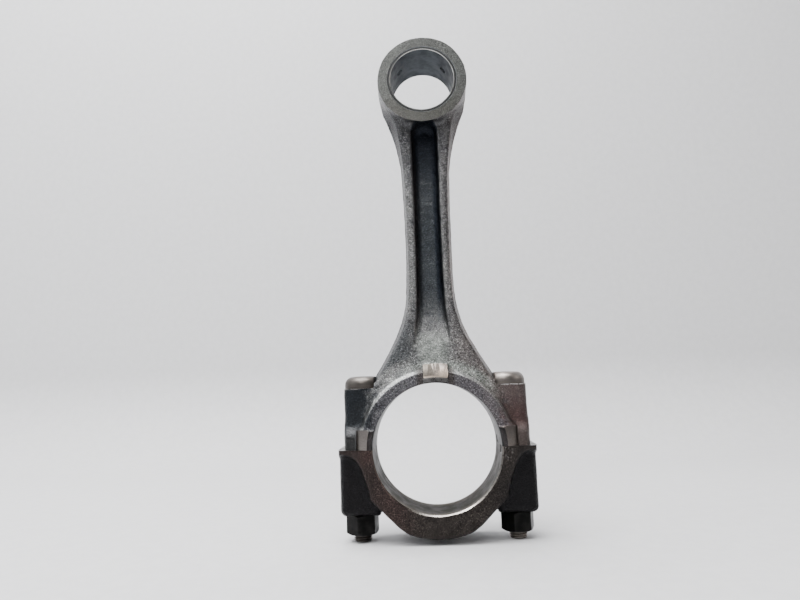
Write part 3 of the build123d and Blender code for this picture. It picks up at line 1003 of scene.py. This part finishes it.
# ---------------------------------------------------------------- small-end bush
bush_outer = eye_bore_radius - CLEAR
bush_end = small_half_width - CLEAR
bush_chamfers = (0.25, 0.3)  # inside and outside
inner, outer = bush_chamfers
bush_profile = [(pin_radius, -bush_end + inner), (pin_radius + inner, -bush_end),
                (bush_outer - outer, -bush_end), (bush_outer, -bush_end + outer),
                (bush_outer, bush_end - outer), (bush_outer - outer, bush_end),
                (pin_radius + inner, bush_end), (pin_radius, bush_end - inner)]
bush = lathe("bush_ring", bush_profile, (0, 0, eye_centre), "Y", [bushed, bush_edge, bush_face],
             [1, 2, 2, 0, 2, 2, 1, 0], closed=True, sides=160)
cut(bush, oil_drills(5.0))
finish_piece(bush, "rod", "small_end_bush")

# ---------------------------------------------------------------- floor, light and camera
floor_height = -bolt_end
sweep_half_width = 2600.0
sweep_front = -1500.0
wall_distance = 330.0
wall_curve = 90.0
wall_height = 1900.0

paper = Finish("studio_paper", Roughness=0.7, Specular_IOR_Level=0.2)
paper_grain = paper.grains(6.0, 3.0, 0.6)
paper_colour = paper.blend(paper.spread(paper_grain, 0.3, 0.7), (0.58, 0.58, 0.59), (0.61, 0.61, 0.62))
paper.close(paper_colour, paper.spread(paper_grain, 0.3, 0.7, 0.65, 0.75), [(paper_grain, 0.05)])

bend_start = wall_distance - wall_curve
bend = [(bend_start + wall_curve * math.sin(a), floor_height + wall_curve * (1 - math.cos(a)))
        for a in np.linspace(0, math.pi / 2, 24)]
path = [(sweep_front, floor_height), *bend, (wall_distance, wall_height)]
sweep_points = [(side * sweep_half_width, y, z) for y, z in path for side in (-1, 1)]
sweep_faces = [(2 * i, 2 * i + 1, 2 * i + 3, 2 * i + 2) for i in range(len(path) - 1)]
sweep = mesh_object("studio_sweep", sweep_points, sweep_faces, paper.material)
sweep.data.polygons.foreach_set("use_smooth", [True] * len(sweep.data.polygons))
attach(sweep, "cap")  # the rod stands on its cap, so the floor stays under it


def soft_light(name, place, target, size, power, tint=(1, 1, 1)):
    """A large square lamp looking at a target, both in millimetres."""
    lamp = bpy.data.lights.new(name, "AREA")
    lamp.shape = "RECTANGLE"
    lamp.size, lamp.size_y = (value * MM for value in size)
    lamp.energy = power
    lamp.color = tint
    holder = bpy.data.objects.new(name, lamp)
    bpy.context.scene.collection.objects.link(holder)
    holder.location = Vector(place) * MM
    aim = (Vector(target) - Vector(place)).normalized()
    holder.rotation_euler = aim.to_track_quat("-Z", "Y").to_euler()
    return holder


soft_light("ceiling", (-250, -150, 1000), (-150, -100, 0), (900, 800), 36)
soft_light("window_high", (-350, -1100, 1000), (0, 0, 60), (700, 500), 9)
soft_light("window_left", (-1000, -300, 500), (0, 0, 80), (400, 600), 3, (0.95, 0.98, 1.0))
soft_light("window_right", (1000, -250, 500), (0, 0, 80), (400, 600), 2, (1.0, 0.97, 0.94))

world = bpy.data.worlds.new("soft_room")
world.use_nodes = True
world.node_tree.nodes["Background"].inputs["Color"].default_value = (0.55, 0.56, 0.58, 1)
world.node_tree.nodes["Background"].inputs["Strength"].default_value = 0.2
bpy.context.scene.world = world

camera_place = (-2.9, -278.3, 27.7)
lens = bpy.data.cameras.new("camera")
lens.lens = 27.0
lens.sensor_width = 36.0
lens.clip_end = 20
camera = bpy.data.objects.new("camera", lens)
bpy.context.scene.collection.objects.link(camera)
lean_sideways = Matrix.Rotation(math.radians(2.32), 4, "Y")
look_up = Matrix.Rotation(math.radians(7.93), 4, "X")
swing = Matrix.Rotation(math.radians(2.65), 4, "Z")
level = Matrix.Rotation(math.radians(90), 4, "X")
stand = Matrix.Translation(Vector(camera_place) * MM)
camera.matrix_world = stand @ lean_sideways @ look_up @ swing @ level
bpy.context.scene.camera = camera
